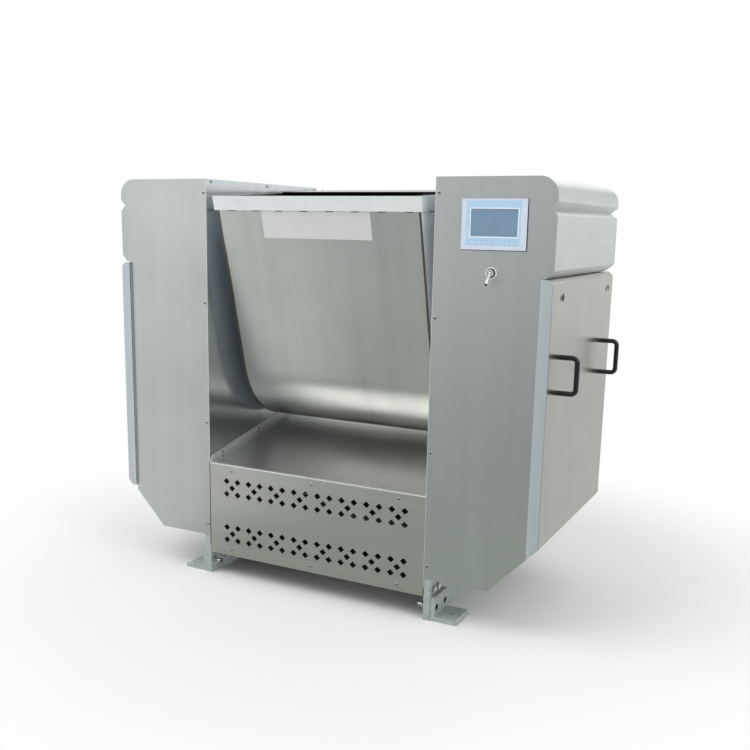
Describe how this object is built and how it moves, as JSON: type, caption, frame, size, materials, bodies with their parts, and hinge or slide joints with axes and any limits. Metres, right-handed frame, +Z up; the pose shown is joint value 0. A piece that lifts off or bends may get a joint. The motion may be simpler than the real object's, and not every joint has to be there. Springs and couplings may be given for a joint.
{
  "type": "horizontal dough mixer",
  "caption": "Tilting-bowl horizontal dough mixer with two drive cabinets, service doors, touch panel, agitator, belt and gear drives.",
  "frame": {"origin": "centre of the four floor anchor holes, on the floor", "axes": "+X to the machine's right seen from the front, +Y to the back, +Z up"},
  "size_m": [1.837, 0.9099, 1.505],
  "materials": {
    "frame_plate": "galvanised plate, satin",
    "frame_tube": "grey paint",
    "bracket": "zinc plated",
    "fastener": "bright zinc plated steel",
    "front_sheet": "vertically brushed stainless",
    "inner_sheet": "fine polished stainless",
    "cap_sheet": "fine brushed stainless",
    "wall_sheet": "brushed stainless",
    "door_sheet": "brushed stainless",
    "base_sheet": "horizontally brushed stainless",
    "base_cover": "brushed stainless",
    "handle": "glossy black",
    "latch": "bright",
    "bowl": "satin stainless",
    "rim": "bright satin stainless",
    "plate": "satin",
    "journal": "turned",
    "bearing": "bronze",
    "seal": "nitrile rubber",
    "gear": "hobbed steel",
    "casting": "cast iron",
    "shaft": "ground",
    "drive_paint": "blue machine enamel",
    "belt": "V belt rubber",
    "electrics": "grey plastic",
    "hmi_case": "light plastic with a pale blue film",
    "screen": "display window",
    "key": "membrane key",
    "switch": "nickel plated"
  },
  "bodies": {
    "frame": {"frame_plate_left": "frame_plate", "frame_plate_right": "frame_plate", "cross_beams": "frame_tube", "support_rails": "frame_tube", "anchor_brackets": "bracket", "frame_bolts": "fastener", "inner_wall_left": "inner_sheet", "inner_wall_right": "inner_sheet", "front_panel_left": "front_sheet", "front_panel_right": "front_sheet", "cabinet_cap_left": "cap_sheet", "cabinet_cap_right": "cap_sheet", "cabinet_shell_left": "wall_sheet", "cabinet_shell_right": "wall_sheet", "rear_covers": "door_sheet", "panel_screws": "fastener", "base_front_panel": "base_sheet", "base_cover": "base_cover", "base_rear_panel": "base_sheet", "bearing_housings": "casting", "main_motor": "drive_paint", "drive_belts": "belt", "main_gearbox": "drive_paint", "tilt_bracket": "frame_tube", "tilt_gearmotor": "drive_paint", "control_gear": "electrics", "hmi_housing": "hmi_case", "hmi_screen": "screen", "switch_body": "switch"},
    "bowl": {"bowl_shell": "bowl", "bowl_end_plates": "bowl", "rim_band": "rim", "rear_lid": "rim", "blank_plate": "plate", "trunnions": "journal", "shaft_bearings": "bearing", "shaft_seals": "seal", "bowl_gear": "gear", "bowl_bolts": "fastener"},
    "agitator": {"agitator_shaft": "shaft", "agitator_arms": "shaft", "agitator_bars": "shaft"},
    "gearbox_pulley": {"gearbox_pulley": "casting"},
    "motor_pulley": {"motor_pulley": "casting"},
    "tilt_pinion": {"tilt_pinion": "gear"},
    "left_door": {"service_door_left": "door_sheet", "door_handles_left": "handle", "door_latches_left": "latch"},
    "right_door": {"service_door_right": "door_sheet", "door_handles_right": "handle", "door_latches_right": "latch"},
    "switch_lever": {"switch_lever": "switch"},
    "key_1": {"function_key_1": "key"},
    "key_2": {"function_key_2": "key"},
    "key_3": {"function_key_3": "key"},
    "key_4": {"function_key_4": "key"},
    "key_5": {"function_key_5": "key"},
    "key_6": {"function_key_6": "key"},
    "key_7": {"function_key_7": "key"},
    "key_8": {"function_key_8": "key"}
  },
  "joints": [
    {"name": "bowl_tilt", "type": "hinge", "parent": "frame", "child": "bowl", "pos_m": [0, 0.055, 0.881], "axis": [1, 0, 0], "range_deg": [-3.5, 86]},
    {"name": "agitator_spin", "type": "hinge", "parent": "frame", "child": "agitator", "pos_m": [0, 0.055, 0.881], "axis": [1, 0, 0], "continuous": true},
    {"name": "gearbox_pulley_spin", "type": "hinge", "parent": "frame", "child": "gearbox_pulley", "pos_m": [-0.52, 0.055, 0.641], "axis": [1, 0, 0], "continuous": true},
    {"name": "motor_pulley_spin", "type": "hinge", "parent": "frame", "child": "motor_pulley", "pos_m": [-0.52, 0.055, 0.324], "axis": [1, 0, 0], "continuous": true},
    {"name": "tilt_pinion_spin", "type": "hinge", "parent": "frame", "child": "tilt_pinion", "pos_m": [0.545, 0.055, 0.581], "axis": [1, 0, 0], "range_deg": [-360, 30]},
    {"name": "left_door_lift_off", "type": "slide", "parent": "frame", "child": "left_door", "axis": [-1, 0, 0], "range_m": [0, 0.2]},
    {"name": "right_door_lift_off", "type": "slide", "parent": "frame", "child": "right_door", "axis": [1, 0, 0], "range_m": [0, 0.2]},
    {"name": "switch_throw", "type": "hinge", "parent": "frame", "child": "switch_lever", "pos_m": [0.65, -0.41, 1.208], "axis": [-1, 0, 0], "range_deg": [0, 90]},
    {"name": "key_1_press", "type": "slide", "parent": "frame", "child": "key_1", "axis": [0, 1, 0], "range_m": [0, 0.0005], "stiffness_N_per_m": 6000},
    {"name": "key_2_press", "type": "slide", "parent": "frame", "child": "key_2", "axis": [0, 1, 0], "range_m": [0, 0.0005], "stiffness_N_per_m": 6000},
    {"name": "key_3_press", "type": "slide", "parent": "frame", "child": "key_3", "axis": [0, 1, 0], "range_m": [0, 0.0005], "stiffness_N_per_m": 6000},
    {"name": "key_4_press", "type": "slide", "parent": "frame", "child": "key_4", "axis": [0, 1, 0], "range_m": [0, 0.0005], "stiffness_N_per_m": 6000},
    {"name": "key_5_press", "type": "slide", "parent": "frame", "child": "key_5", "axis": [0, 1, 0], "range_m": [0, 0.0005], "stiffness_N_per_m": 6000},
    {"name": "key_6_press", "type": "slide", "parent": "frame", "child": "key_6", "axis": [0, 1, 0], "range_m": [0, 0.0005], "stiffness_N_per_m": 6000},
    {"name": "key_7_press", "type": "slide", "parent": "frame", "child": "key_7", "axis": [0, 1, 0], "range_m": [0, 0.0005], "stiffness_N_per_m": 6000},
    {"name": "key_8_press", "type": "slide", "parent": "frame", "child": "key_8", "axis": [0, 1, 0], "range_m": [0, 0.0005], "stiffness_N_per_m": 6000}
  ],
  "couplings": [
    {"joint": "gearbox_pulley_spin", "follows": "agitator_spin", "ratio": 20},
    {"joint": "motor_pulley_spin", "follows": "agitator_spin", "ratio": 32},
    {"joint": "tilt_pinion_spin", "follows": "bowl_tilt", "ratio": -4}
  ]
}
